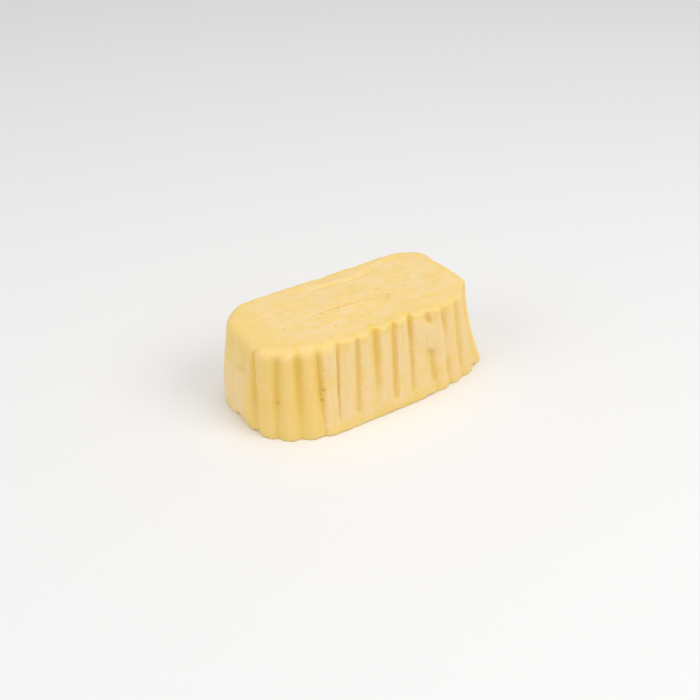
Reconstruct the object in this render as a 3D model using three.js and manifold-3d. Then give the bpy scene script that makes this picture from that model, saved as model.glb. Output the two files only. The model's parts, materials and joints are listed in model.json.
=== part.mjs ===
// Block of butter turned out of a fluted mould: one solid piece.
// Millimetres, +Z up. The long axis runs along X, the side with the open, deep flutes faces -Y,
// and the origin is the middle of the foot, on the surface that the block rests on.

import * as THREE from 'three';
import { ParametricGeometry } from 'three/addons/geometries/ParametricGeometry.js';
import { mergeVertices } from 'three/addons/utils/BufferGeometryUtils.js';
import Module from 'manifold-3d';

// Driving dimensions of the block
const HEIGHT = 44.5;
const RIBS = 31;

// How far the four sides stand from the origin at the top and at the foot, and each corner's
// radii along the long side and along the end, in the order near left, near right, far right, far left
const TOP_OUTLINE = {
  left: 58.4, right: 52.8, near: 25.8, far: 25.8,
  corners: [[30, 14], [46, 13], [22, 10], [17, 15]],
};
const FOOT_OUTLINE = {
  left: 60.8, right: 61.7, near: 32.1, far: 32.1,
  corners: [[32, 24], [54, 15], [27, 15], [23, 20]],
};

// The right end hangs straight from the top and flares near the foot: the power of its slope
const RIGHT_FLARE = 2.0;
const RIGHT_END_RIB = 14.5;
const RIGHT_END_REACH = 3.5;

// The left end swells a little at half its height, and its lower half stands out as a low ledge
const LEFT_END_RIB = 29.3;
const LEFT_END_REACH = 2.6;
const LEFT_SWELL = 1.2;
const LEDGE_RIB = 30.1;
const LEDGE_REACH = 1.1;
const LEDGE_HEIGHTS = [24.5, 28];
const LEFT_LEDGE = 0.8;

// The left end was also wiped smooth: its flutes are faint
const WIPED_RIB = 28.9;
const WIPED_REACH = 2.1;

// The near side bulges at its top: from which rib to which, how softly it ends and how far
const BULGES = [
  { ribs: [0, 10.5], reach: 1.5, swell: 1.2 },
  { ribs: [5, 10.4], reach: 1.2, swell: 0.9 },
  { ribs: [4.8, 6.6], reach: 0.9, swell: 0.8 },
  { ribs: [9.9, 10.5], reach: 1.1, swell: 2 },
];

// Rounding of the top edge, softest round the near left corner, and of the foot
const EDGE_RADIUS = 1.8;
const SOFT_EDGE_RADIUS = 4.2;
const SOFT_EDGE_RIBS = [-3.5, 3.2];
const FOOT_RADIUS = 0.7;

// The flutes that show in front, in order from the near left corner. Each strays sideways by a
// share of a rib at its top and at its foot, has a depth at four heights from the top down and a
// half width, and its notch says how far it cuts through the top edge
const SHOWN_FLUTES = [
  { top: -0.34, foot: 0.33, depths: [1.9, 1.8, 0.9, 0.8], halfWidth: 1.7, notch: 0.3 },
  { top: 0, foot: 0.26, depths: [1.8, 1.9, 1.1, 1.1], halfWidth: 2.2, notch: 0.3 },
  { top: -0.12, foot: 0.2, depths: [2.2, 2.1, 1.2, 1.1], halfWidth: 2.6, notch: 0.4 },
  { top: -0.16, foot: 0.16, depths: [2, 2.4, 1.3, 0.9], halfWidth: 2.4, notch: 0.4 },
  { top: -0.1, foot: -0.38, depths: [1.3, 1.4, 1, 0.1], halfWidth: 1.2, notch: 0.8 },
  { top: -0.12, foot: -0.2, depths: [1.2, 1.2, 1, 0.1], halfWidth: 1.6, notch: 0.7 },
  { top: -0.11, foot: -0.18, depths: [2.3, 1.3, 0.3, 0.2], halfWidth: 1.8, notch: 1 },
  { top: -0.05, foot: -0.15, depths: [2, 1.7, 1.4, 0.1], halfWidth: 1.9, notch: 1 },
  { top: -0.1, foot: -0.2, depths: [2.1, 1.2, 1, 0.2], halfWidth: 1.4, notch: 1 },
  { top: -0.16, foot: 0.06, depths: [1.5, 1.2, 1.3, 0.5], halfWidth: 1.8, notch: 0.4 },
  { top: -0.36, foot: -0.15, depths: [1.4, 0.5, 1.1, 0.7], halfWidth: 1.9, notch: 0.4 },
  { top: -0.34, foot: -0.46, depths: [1.5, 1.4, 1.1, 0.6], halfWidth: 2.2, notch: 0.5 },
  { top: -0.1, foot: -0.1, depths: [0.8, 0.8, 0.8, 0.4], halfWidth: 1.9, notch: 0.2 },
  { top: 0, foot: 0, depths: [0.7, 0.9, 0.9, 0.4], halfWidth: 1.9, notch: 0 },
  { top: 0, foot: 0, depths: [1, 1.2, 1.1, 0.7], halfWidth: 1.9, notch: 0 },
];
const DEPTH_HEIGHTS = [41, 22, 8.5, 4];

// The usual groove between two ribs behind: its depth, its half width, and how round the ribs stand
const GROOVE_DEPTH = 1.6;
const GROOVE_HALF_WIDTH = 1.9;
const RIB_CROWN = 0.45;
const SOFT_RIB_CROWN = 0.75;
const SOFT_RIBS = [0, 3.2];

// A smear closes the grooves in a patch high on the near side, right of the middle. It slants down
// to the right by so much a rib
const SMEAR_RIBS = [8.35, 9.35];
const SMEAR_HEIGHTS = [25.5, 37.5];
const SMEAR_SLOPE = 3.7;
const SMEAR_SWELL = 0.35;

// On the near side the foot runs on below the flutes as a slightly swollen band
const FOOT_BAND_RIBS = [3.6, 10.4];
const FOOT_BAND_HEIGHT = 4.5;
const FOOT_BAND_SWELL = 0.3;

// Chips broken out of the foot: at which rib, how many ribs to each side and how deep
const CHIPS = [
  { rib: 29.55, half: 0.3, deep: 1.8 },
  { rib: 8.6, half: 0.25, deep: 0.9 },
  { rib: 11.55, half: 0.25, deep: 1.7 },
  { rib: 17.2, half: 0.35, deep: 1.3 },
];

// The slit in the top, cut nearly along the block, and the lip that the cut raised beside it
const SLIT_LINE = [[-29.3, -2.8], [-15.4, -2.4], [-2.6, -3.4], [12.8, -7.3]];
const SLIT_WIDTH = 1.3;
const SLIT_DEPTH = 4.5;
const LIP_LINE = [[-26.3, -4.3], [-15.4, -4.0], [-3.6, -4.9], [6.3, -7.1]];
const LIP_WIDTH = 2.2;
const LIP_HEIGHT = 0.8;
const LEAF_STEPS = 12;

// How finely the surface is divided: places across each rib, and rows up the wall and over the top
const RIB_PLACES = [0, 0.06, 0.13, 0.22, 0.35, 0.5, 0.65, 0.78, 0.87, 0.94];
const WALL_HEIGHTS = [0, 0.03, 0.11, 0.2, 0.33, 0.46, 0.58, 0.7, 0.84, 1];
const EDGE_STEPS = 3;
const TOP_RINGS = [0.93, 0.72, 0.4];
const TOP_CENTRE = new THREE.Vector2(-4, 0);
const TOP_UNEVENNESS = 0.25;
const SEED = 7;

const BUTTER_YELLOW = 0xf3d78c;

// Small helpers
const mix = (a, b, t) => a + (b - a) * t;
const smooth = (low, high, x) => THREE.MathUtils.smoothstep(x, low, high);

// A repeatable uneven number from -1 to 1 for each rib and purpose
function uneven(number, purpose) {
  const wave = Math.sin((number + 1) * 12.9898 + purpose * 78.233 + SEED) * 43758.5453;
  return 2 * (wave - Math.floor(wave)) - 1;
}

// 1 inside a range of ribs or heights, fading to 0 over the given reach on both sides of it
function within([low, high], x, reach) {
  return smooth(low - reach, low, x) * (1 - smooth(high, high + reach, x));
}

// How near a rib is to the middle of an end of the block, from 1 there to 0 beyond its reach
function nearness(rib, middle, reach) {
  const apart = Math.abs(rib - middle);
  return 1 - smooth(0.35 * reach, reach, Math.min(apart, RIBS - apart));
}

// An outline is four quarter ellipses with straight sides between, counter-clockwise from the
// left end's near corner
function makeOutline({ left, right, near, far, corners }) {
  const quarter = Math.PI / 2;
  const arcs = corners.map(([along, across], number) => {
    const onLeft = number === 0 || number === 3;
    const onNear = number < 2;
    const x = onLeft ? along - left : right - along;
    const y = onNear ? across - near : far - across;
    return new THREE.EllipseCurve(x, y, along, across, (number + 2) * quarter, (number + 3) * quarter);
  });
  return arcs.flatMap((arc, number) => {
    const next = arcs[(number + 1) % arcs.length];
    return [arc, new THREE.LineCurve(arc.getPoint(1), next.getPoint(0))];
  });
}

const topCurves = makeOutline(TOP_OUTLINE);
const footCurves = makeOutline(FOOT_OUTLINE);
const topLength = topCurves.reduce((sum, curve) => sum + curve.getLength(), 0);
const RIB_PITCH = topLength / RIBS;

// The place on both outlines that a rib number stands for, and the way out of the block there
function place(rib) {
  let along = THREE.MathUtils.euclideanModulo(rib, RIBS) * RIB_PITCH;
  let number = 0;
  while (number < topCurves.length - 1 && along > topCurves[number].getLength()) {
    along -= topCurves[number].getLength();
    number += 1;
  }
  const share = Math.min(along / topCurves[number].getLength(), 1);
  const tangent = topCurves[number].getTangentAt(share);
  return {
    top: topCurves[number].getPointAt(share),
    foot: footCurves[number].getPointAt(share),
    out: new THREE.Vector2(tangent.y, -tangent.x),
  };
}

// The flutes in front are set by hand. Those behind vary evenly round the usual groove
const flutes = Array.from({ length: RIBS }, (_, number) => {
  if (number < SHOWN_FLUTES.length) {
    return SHOWN_FLUTES[number];
  }
  const depth = GROOVE_DEPTH * (1 + 0.2 * uneven(number, 4));
  return {
    top: 0.07 * uneven(number, 1),
    foot: 0.07 * uneven(number, 5),
    depths: [1, 1, 0.8, 0.45].map((share) => depth * share),
    halfWidth: GROOVE_HALF_WIDTH * (1 + 0.15 * uneven(number, 2)),
    notch: 0.5 * smooth(0, 0.8, uneven(number, 3)),
  };
});

// The rib number that a column reaches at a height, because its flute strays. Its stray there is
// that of the flutes on both sides, shared by how near they are
function strayed(column, height) {
  const low = 1 - height / HEIGHT;
  const rounds = 8;
  let rib = column;
  for (let round = 0; round < rounds; round += 1) {
    const turned = THREE.MathUtils.euclideanModulo(rib, RIBS);
    const before = flutes[Math.floor(turned)];
    const after = flutes[(Math.floor(turned) + 1) % RIBS];
    const share = turned - Math.floor(turned);
    rib = column + mix(mix(before.top, before.foot, low), mix(after.top, after.foot, low), share);
  }
  return rib;
}

function depthAt(depths, height) {
  return depths.slice(1).reduce((depth, next, step) => {
    return mix(next, depth, smooth(DEPTH_HEIGHTS[step + 1], DEPTH_HEIGHTS[step], height));
  }, depths[0]);
}

// How deep the surface lies behind the rib crests in a column, which reaches a rib, at a height
function fluteInset(column, rib, height) {
  const flute = flutes[THREE.MathUtils.euclideanModulo(Math.round(column), RIBS)];
  const apart = Math.abs(column - Math.round(column));
  const halfWidth = flute.halfWidth * (1 + 0.35 * flute.notch * smooth(35, 43, height));
  const depth = depthAt(flute.depths, height);
  const groove = depth * Math.exp(-Math.pow((apart * RIB_PITCH) / halfWidth, 1.8));
  const roundness = mix(RIB_CROWN, SOFT_RIB_CROWN, within(SOFT_RIBS, rib, 0.5));
  const crown = roundness * Math.min(depth, 1) * 4 * Math.pow(0.5 - apart, 2);
  const topFade = mix(smooth(0.3, 7, HEIGHT - height), 1, flute.notch);
  const wiped = nearness(rib, WIPED_RIB, WIPED_REACH) * mix(1, 0.8, smooth(15, 40, height));
  const slanted = height + SMEAR_SLOPE * (rib - 9);
  const smeared = within(SMEAR_RIBS, rib, 0.35) * within(SMEAR_HEIGHTS, slanted, 3.5);
  const open = topFade * (1 - wiped) * (1 - 0.95 * smeared);
  return (groove + crown) * open - SMEAR_SWELL * smeared;
}

// How far the plain wall stands out at its ends and at its bulges
function swellAt(rib, height) {
  const low = 1 - height / HEIGHT;
  const end = LEFT_SWELL * nearness(rib, LEFT_END_RIB, LEFT_END_REACH) * Math.sin(Math.PI * low);
  const slanted = height + 2.5 * (LEDGE_RIB - rib);
  const ledge = (1 - smooth(...LEDGE_HEIGHTS, slanted)) * nearness(rib, LEDGE_RIB, LEDGE_REACH);
  const fromLeftEnd = THREE.MathUtils.euclideanModulo(rib + RIBS / 2, RIBS) - RIBS / 2;
  const bulge = BULGES.reduce((sum, { ribs, reach, swell }) => {
    return sum + swell * within(ribs, fromLeftEnd, reach);
  }, 0);
  return end + LEFT_LEDGE * ledge * smooth(0, 14, height) + bulge * (1 - low);
}

// How far the foot is set in: its chips, less its swollen band
function footBite(rib, height) {
  const band = within(FOOT_BAND_RIBS, rib, 0.8) * (1 - smooth(0.5, 1.5, height / FOOT_BAND_HEIGHT));
  return CHIPS.reduce((bite, chip) => {
    const apart = Math.abs(rib - chip.rib);
    const missing = 1 - smooth(0.5 * chip.half, chip.half, Math.min(apart, RIBS - apart));
    return bite + chip.deep * missing * Math.exp(-Math.pow(height / (1.4 * chip.deep), 2));
  }, -FOOT_BAND_SWELL * band);
}

// A point of the wall in a column at a height, set in from the crests by a rounding
function wallPoint(column, height, inset) {
  const rib = strayed(column, height);
  const { top, foot, out } = place(rib);
  const low = 1 - height / HEIGHT;
  const flare = mix(1, RIGHT_FLARE, nearness(rib, RIGHT_END_RIB, RIGHT_END_REACH));
  const point = top.lerp(foot, Math.pow(low, flare));
  const setIn = inset + fluteInset(column, rib, height) + footBite(rib, height);
  return point.addScaledVector(out, swellAt(rib, height) - setIn);
}

// The top is nearly flat, with low waves
function topHeight(x, y) {
  return HEIGHT + TOP_UNEVENNESS * (Math.sin(x / 9 + 1) * Math.cos(y / 7) - 0.5);
}

// The rows from the middle of the foot, up the wall and over the edge to the middle of the top
const EDGE_ROW = 1 + WALL_HEIGHTS.length;
const RING_ROW = EDGE_ROW + EDGE_STEPS;
const LAST_ROW = RING_ROW + TOP_RINGS.length;

function edgeRadius(column) {
  const fromLeftEnd = THREE.MathUtils.euclideanModulo(column + RIBS / 2, RIBS) - RIBS / 2;
  return mix(EDGE_RADIUS, SOFT_EDGE_RADIUS, within(SOFT_EDGE_RIBS, fromLeftEnd, 1.2));
}

function surfacePoint(row, column, target) {
  if (row === 0) {
    return target.set(0, 0, 0);
  }
  const radius = edgeRadius(column);
  const shoulder = HEIGHT - radius;
  if (row < EDGE_ROW) {
    const height = WALL_HEIGHTS[row - 1] * shoulder;
    const raggedFoot = row === 1 ? FOOT_RADIUS * (1 + 0.6 * uneven(Math.floor(column * 3), 5)) : 0;
    const point = wallPoint(column, height, raggedFoot);
    return target.set(point.x, point.y, height);
  }
  if (row < RING_ROW) {
    const turn = ((row - EDGE_ROW + 1) / EDGE_STEPS) * (Math.PI / 2);
    const height = shoulder + radius * Math.sin(turn);
    const point = wallPoint(column, height, radius * (1 - Math.cos(turn)));
    const settle = topHeight(point.x, point.y) - HEIGHT;
    return target.set(point.x, point.y, height + settle * Math.sin(turn));
  }
  const ring = row === LAST_ROW ? 0 : TOP_RINGS[row - RING_ROW];
  const edge = wallPoint(column, HEIGHT, radius);
  const point = TOP_CENTRE.clone().lerp(edge, ring);
  return target.set(point.x, point.y, topHeight(point.x, point.y));
}

// The moulded body: the seam and the two middle points are merged, and what they collapse goes
function makeBody() {
  const columns = RIBS * RIB_PLACES.length;
  const geometry = new ParametricGeometry((u, v, target) => {
    const count = Math.round(u * columns) % columns;
    const number = Math.floor(count / RIB_PLACES.length);
    surfacePoint(Math.round(v * LAST_ROW), number + RIB_PLACES[count % RIB_PLACES.length], target);
  }, columns, LAST_ROW);
  return closeMesh(geometry);
}

function closeMesh(geometry) {
  geometry.deleteAttribute('normal');
  geometry.deleteAttribute('uv');
  const merged = mergeVertices(geometry);
  const corners = merged.index.array;
  const kept = [];
  for (let first = 0; first < corners.length; first += 3) {
    const [a, b, c] = corners.subarray(first, first + 3);
    if (a !== b && b !== c && c !== a) {
      kept.push(a, b, c);
    }
  }
  merged.setIndex(kept);
  return merged;
}

// A long thin leaf in plan along a line, cut straight down: the slit
function makeSlit() {
  const middle = curveAlong(SLIT_LINE);
  const sides = [1, -1].map((side) => Array.from({ length: LEAF_STEPS + 1 }, (_, step) => {
    const { point, across } = leafPlace(middle, step / LEAF_STEPS, SLIT_WIDTH);
    return point.addScaledVector(across, side);
  }));
  const shape = new THREE.Shape([...sides[0], ...sides[1].reverse()]);
  const clearance = 3;
  const depth = SLIT_DEPTH + clearance;
  const geometry = new THREE.ExtrudeGeometry(shape, { depth, bevelEnabled: false, steps: 1 });
  geometry.translate(0, 0, HEIGHT - SLIT_DEPTH);
  return closeMesh(geometry);
}

// The lip is a tapered round ridge, half sunk in the top
function makeLip() {
  const middle = curveAlong(LIP_LINE);
  const corners = 10;
  const geometry = new ParametricGeometry((u, v, target) => {
    const turn = (Math.round(u * corners) % corners) * (2 * Math.PI / corners);
    const step = Math.round(v * LEAF_STEPS);
    const tapered = step > 0 && step < LEAF_STEPS ? 1 : 0;
    const { point, across, taper } = leafPlace(middle, step / LEAF_STEPS, LIP_WIDTH);
    point.addScaledVector(across, tapered * Math.cos(turn));
    target.set(point.x, point.y, HEIGHT - 0.3 + tapered * taper * (LIP_HEIGHT + 0.3) * Math.sin(turn));
  }, corners, LEAF_STEPS);
  return closeMesh(geometry);
}

function curveAlong(line) {
  return new THREE.SplineCurve(line.map(([x, y]) => new THREE.Vector2(x, y)));
}

// A place along a leaf: its middle, the way across it as long as its half width, and its taper
function leafPlace(middle, share, width) {
  const tangent = middle.getTangentAt(share);
  const taper = Math.sqrt(Math.sin(Math.PI * mix(0.02, 0.98, share)));
  const across = new THREE.Vector2(-tangent.y, tangent.x).multiplyScalar((width / 2) * taper);
  return { point: middle.getPointAt(share), across, taper };
}

// Boolean joins and cuts
const wasm = await Module();
wasm.setup();

function toSolid(geometry) {
  return new wasm.Manifold(new wasm.Mesh({
    numProp: 3,
    vertProperties: new Float32Array(geometry.attributes.position.array),
    triVerts: new Uint32Array(geometry.index.array),
  }));
}

function toGeometry(solid) {
  const mesh = solid.getMesh();
  const geometry = new THREE.BufferGeometry();
  geometry.setAttribute('position', new THREE.BufferAttribute(mesh.vertProperties, 3));
  geometry.setIndex(new THREE.BufferAttribute(mesh.triVerts, 1));
  geometry.computeVertexNormals();
  return geometry;
}

function makeButterBlock() {
  const body = toSolid(makeBody());
  const lip = toSolid(makeLip());
  const slit = toSolid(makeSlit());
  const material = new THREE.MeshStandardMaterial({ color: BUTTER_YELLOW, roughness: 0.5, metalness: 0 });
  const block = new THREE.Mesh(toGeometry(body.add(lip).subtract(slit)), material);
  block.name = 'butter_block';
  return block;
}

const butter = new THREE.Group();
butter.add(makeButterBlock());

export default butter;
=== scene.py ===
# %% [markdown]
# A block of butter
# This lesson dresses a block of butter that was turned out of a fluted mould. The real block is one
# piece: a flat top, upright ribs all round, and a foot that spreads where the butter let go of the
# mould. We loft the plain body from two outlines, let a Geometry Nodes tree press the flutes into
# it, and then give it a waxy, slightly see-through finish. Every length below is in millimetres and
# is turned into metres by MM where it meets Blender.

# %% Load the fixed frame
import json
import math

import bpy
import numpy as np
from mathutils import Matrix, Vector

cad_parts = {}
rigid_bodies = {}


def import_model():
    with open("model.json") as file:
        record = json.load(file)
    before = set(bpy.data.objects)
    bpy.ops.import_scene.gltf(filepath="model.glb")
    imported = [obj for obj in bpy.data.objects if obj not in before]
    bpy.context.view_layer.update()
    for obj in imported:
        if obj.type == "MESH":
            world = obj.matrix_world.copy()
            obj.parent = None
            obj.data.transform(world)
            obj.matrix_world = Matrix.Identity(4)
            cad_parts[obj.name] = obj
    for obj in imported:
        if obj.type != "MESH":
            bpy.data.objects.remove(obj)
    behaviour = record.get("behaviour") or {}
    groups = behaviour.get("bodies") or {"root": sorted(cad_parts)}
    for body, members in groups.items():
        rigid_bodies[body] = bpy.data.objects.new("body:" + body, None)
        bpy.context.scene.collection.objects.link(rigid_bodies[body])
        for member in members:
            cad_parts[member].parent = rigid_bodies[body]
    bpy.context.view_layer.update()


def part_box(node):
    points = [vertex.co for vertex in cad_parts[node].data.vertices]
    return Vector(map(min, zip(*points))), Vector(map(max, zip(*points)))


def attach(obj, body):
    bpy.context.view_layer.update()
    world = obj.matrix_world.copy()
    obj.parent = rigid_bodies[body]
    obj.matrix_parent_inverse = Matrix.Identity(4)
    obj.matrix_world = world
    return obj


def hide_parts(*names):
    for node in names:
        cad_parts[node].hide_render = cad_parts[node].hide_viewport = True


MM = 0.001
NODE = "butter_block"

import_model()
NODE_LOW, NODE_HIGH = (np.array(corner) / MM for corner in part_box(NODE))
print("frame box in mm:", NODE_LOW.round(1), NODE_HIGH.round(1))

# %% [markdown]
# The sizes
# The sizes are counted from the box of the solid in the frame, so both stay close together. The lip
# of the slit is the highest thing on the block, and the rest of the top lies a little below it. The
# top and foot outlines are rounded rectangles whose corners are quarter ellipses, because the block
# bulges more along its sides than along its ends.

# %% Sizes of the block
LIP_HEIGHT = 0.8
HEIGHT = NODE_HIGH[2] - LIP_HEIGHT + 0.05
RIBS = 31
FOOT_LEFT = -NODE_LOW[0] - 1.24
FOOT_RIGHT = NODE_HIGH[0] + 0.3
FOOT_HALF_WIDTH = NODE_HIGH[1] + 0.2

# How far each side stands out, and each corner's radii along the side and along the end, in the
# order near left, near right, far right, far left
TOP_OUTLINE = dict(
    left=FOOT_LEFT - 2.4, right=FOOT_RIGHT - 8.9,
    near=FOOT_HALF_WIDTH - 6.3, far=FOOT_HALF_WIDTH - 6.3,
    corners=((30, 14), (46, 13), (22, 10), (17, 15)),
)
FOOT_OUTLINE = dict(
    left=FOOT_LEFT, right=FOOT_RIGHT, near=FOOT_HALF_WIDTH, far=FOOT_HALF_WIDTH,
    corners=((32, 24), (54, 15), (27, 15), (23, 20)),
)

# The right end hangs straight and then flares; the left end was wiped smooth and swells a little
RIGHT_FLARE, RIGHT_END_RIB, RIGHT_END_REACH = 2.0, 14.5, 3.5
LEFT_SWELL, LEFT_END_RIB, LEFT_END_REACH = 1.2, 29.3, 2.6
LEFT_LEDGE, LEDGE_HEIGHTS, LEDGE_RIB, LEDGE_REACH = 0.8, (24.5, 28.0), 30.1, 1.1
LEDGE_SLOPE, LEDGE_CREASE, LEDGE_CREASE_HEIGHT, LEDGE_CREASE_REACH = 2.5, 0.9, 29, 1.1
WIPED_RIB, WIPED_REACH = 28.9, 2.1

EDGE_RADIUS, SOFT_EDGE_RADIUS = 1.7, 4.2
SOFT_RIBS = (-3.5, 3.2)

# The near side bulges at its top: how far, from which rib to which, and how softly it ends
RIM_BULGES = ((1.2, (0, 10.5), 1.5), (0.9, (5.0, 10.4), 1.2), (0.8, (4.8, 6.6), 0.9))
CORNER_BULGE, CORNER_BULGE_RIB, CORNER_BULGE_REACH = 2.0, 10.2, 1.6

SMEAR_RIBS, SMEAR_HEIGHTS, SMEAR_SLOPE, SMEAR_SWELL = (8.35, 9.35), (25.5, 36.0), 3.7, 0.35
FOOT_BAND_RIBS, FOOT_BAND_HEIGHT, FOOT_BAND_SWELL = (3.6, 10.4), 4.5, 0.3


# %% [markdown]
# Small curves of numbers
# A few helpers say "here and not there" softly: each region of the block, such as the wiped end or
# the smear on the side, is one of these curves multiplied into a depth.

# %% Soft steps and repeatable unevenness
def mix(a, b, share):
    return a + (b - a) * share


def smooth(low, high, x):
    t = np.clip((x - low) / (high - low), 0, 1)
    return t * t * (3 - 2 * t)


def within(span, x, reach):
    low, high = span
    return smooth(low - reach, low, x) * (1 - smooth(high, high + reach, x))


def from_left_end(rib):
    """The rib number counted either way from the left end, at most half of all ribs."""
    return np.mod(np.asarray(rib) + RIBS / 2, RIBS) - RIBS / 2


def nearness(rib, middle, reach):
    apart = np.abs(np.asarray(rib) - middle)
    return 1 - smooth(0.35 * reach, reach, np.minimum(apart, RIBS - apart))


def uneven(number, purpose):
    """A repeatable number from -1 to 1 for each rib and purpose."""
    wave = np.sin((np.asarray(number) + 1) * 12.9898 + purpose * 78.233 + 7) * 43758.5453
    return 2 * (wave - np.floor(wave)) - 1


def waves(x, y, length, purpose):
    """Low rolling waves from -1 to 1, made of four sines that run different ways."""
    total = np.zeros_like(np.asarray(x, dtype=float))
    for number in range(4):
        heading = math.pi * (0.23 + number * 0.31 + 0.2 * uneven(number, purpose))
        step = (x * math.cos(heading) + y * math.sin(heading)) / length * (1 + 0.4 * number)
        total += np.sin(2 * math.pi * step + 9 * uneven(number, purpose + 1)) / 4
    return total


# %% [markdown]
# The outlines
# Each outline is four quarter ellipses joined by straight sides. We lay many points along every
# stretch and measure their length, so that a rib number, counted round the block from the left
# end, can be turned into a place on the top outline and the matching place on the foot outline.

# %% Outlines with ribs counted round them
STRETCH_POINTS = 400


def make_outline(left, right, near, far, corners):
    arcs = []
    for number, (along, across) in enumerate(corners):
        x = along - left if number in (0, 3) else right - along
        y = across - near if number < 2 else far - across
        turn = np.linspace(number + 2, number + 3, STRETCH_POINTS) * math.pi / 2
        arcs.append(np.stack([x + along * np.cos(turn), y + across * np.sin(turn)], axis=1))
    stretches = []
    for number, arc in enumerate(arcs):
        share = np.linspace(0, 1, STRETCH_POINTS)[:, None]
        stretches += [arc, mix(arc[-1], arcs[(number + 1) % 4][0], share)]
    return stretches


def lengths_along(stretch):
    steps = np.linalg.norm(np.diff(stretch, axis=0), axis=1)
    return np.concatenate([[0], np.cumsum(steps)])


def shrink(outline, inset, corner_cut):
    """The same outline drawn further in, with smaller corners."""
    sides = {side: outline[side] - inset for side in ("left", "right", "near", "far")}
    corners = [(along - corner_cut, across - corner_cut) for along, across in outline["corners"]]
    return dict(sides, corners=corners)


COLLAR_WIDTH = 8.0
TOP_STRETCHES = make_outline(**TOP_OUTLINE)
FOOT_STRETCHES = make_outline(**FOOT_OUTLINE)
COLLAR_STRETCHES = make_outline(**shrink(TOP_OUTLINE, COLLAR_WIDTH, 6.0))
TOP_LENGTHS = [lengths_along(stretch) for stretch in TOP_STRETCHES]
STRETCH_ENDS = np.cumsum([lengths[-1] for lengths in TOP_LENGTHS])
RIB_PITCH = STRETCH_ENDS[-1] / RIBS


def along_stretch(stretch, share):
    lengths = lengths_along(stretch)
    reached = share * lengths[-1]
    return np.stack([np.interp(reached, lengths, stretch[:, axis]) for axis in (0, 1)], axis=1)


def places(rib):
    """The places on the top, foot and collar outlines of some rib numbers, and the way out there."""
    along = np.mod(rib, RIBS) * RIB_PITCH
    which = np.minimum(np.searchsorted(STRETCH_ENDS, along), len(TOP_STRETCHES) - 1)
    top, foot, collar, out = (np.zeros((len(rib), 2)) for _ in range(4))
    for number, top_stretch in enumerate(TOP_STRETCHES):
        here = which == number
        length = TOP_LENGTHS[number][-1]
        share = np.clip((along[here] - STRETCH_ENDS[number] + length) / length, 0, 1)
        top[here] = along_stretch(top_stretch, share)
        foot[here] = along_stretch(FOOT_STRETCHES[number], share)
        collar[here] = along_stretch(COLLAR_STRETCHES[number], share)
        ahead = along_stretch(top_stretch, np.clip(share + 0.002, 0, 1))
        behind = along_stretch(top_stretch, np.clip(share - 0.002, 0, 1))
        heading = ahead - behind
        out[here] = np.stack([heading[:, 1], -heading[:, 0]], axis=1)
    return top, foot, collar, out / np.linalg.norm(out, axis=1, keepdims=True)


# %% [markdown]
# The plain wall
# The wall leans out from the top outline to the foot outline. At the right end it hangs straight
# first and flares late. At the left end it swells, and its lower half stands out as a low ledge with
# a crease above it. The near side bulges at its top. The top edge is rolled over: softly round the
# left end, more crisply elsewhere.

# %% The wall without its flutes
def edge_radius(rib):
    return mix(EDGE_RADIUS, SOFT_EDGE_RADIUS, within(SOFT_RIBS, from_left_end(rib), 1.2))


def rim_bulge(rib):
    """How far the top of the near side stands out beyond its plain outline."""
    bulges = (swell * within(span, from_left_end(rib), reach) for swell, span, reach in RIM_BULGES)
    return sum(bulges) + CORNER_BULGE * nearness(rib, CORNER_BULGE_RIB, CORNER_BULGE_REACH)


def wall_points(rib, height, inset):
    top, foot, _, out = places(rib)
    low = 1 - height / HEIGHT
    flare = mix(1, RIGHT_FLARE, nearness(rib, RIGHT_END_RIB, RIGHT_END_REACH))
    swell = LEFT_SWELL * nearness(rib, LEFT_END_RIB, LEFT_END_REACH) * np.sin(math.pi * low)
    slanted = height + LEDGE_SLOPE * (LEDGE_RIB - rib)
    from_crease = (slanted - LEDGE_CREASE_HEIGHT) / LEDGE_CREASE_REACH
    crease = LEDGE_CREASE * np.exp(-(from_crease ** 2))
    ledge = 1 - smooth(*LEDGE_HEIGHTS, slanted) - crease
    ledge = ledge * nearness(rib, LEDGE_RIB, LEDGE_REACH) * smooth(0, 14, height)
    swell = swell + LEFT_LEDGE * ledge + rim_bulge(rib) * (1 - low)
    point = mix(top, foot, (np.clip(low, 0, 1) ** flare)[:, None])
    return point + out * (swell - inset)[:, None], out


# %% [markdown]
# The ragged foot
# Where the block let go of the mould its foot tore a little: the lowest half millimetre is rounded
# in unevenly, and here and there a small chip is missing. Along the near side the flutes stop above
# the foot, which runs on as a smooth, slightly swollen band.

# %% Bites out of the foot
# Each chip: its rib, half its width in ribs, and how deep it is
CHIPS = (
    (-1.45, 0.3, 1.8), (0.12, 0.15, 0.8), (2.9, 0.2, 0.6), (5.3, 0.12, 0.5), (6.35, 0.15, 0.6),
    (8.6, 0.25, 0.9), (11.55, 0.25, 1.7), (17.2, 0.35, 1.3), (21.7, 0.2, 1.0),
    (24.4, 0.3, 1.2), (27.6, 0.25, 0.9),
)


def foot_bite(rib, height):
    """How far the foot is set in: its rounding, raggedness and chips, less its swollen band."""
    ragged = 0.55 + 0.35 * np.sin(rib * 7.1) * np.sin(rib * 3.3 + 1)
    ragged = ragged + 0.2 * np.sin(rib * 19.0 + 2) * np.sin(rib * 5.3) + 0.15 * np.sin(rib * 41.0)
    bite = ragged * np.exp(-height / 0.6)
    for middle, half, deep in CHIPS:
        apart = np.abs(from_left_end(rib - middle))
        missing = (1 - smooth(0.5 * half, half, apart)) * np.exp(-((height / (1.4 * deep)) ** 2))
        bite = bite + deep * missing
    band = within(FOOT_BAND_RIBS, rib, 0.8) * (1 - smooth(0.5, 1.5, height / FOOT_BAND_HEIGHT))
    return bite - FOOT_BAND_SWELL * band


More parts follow.
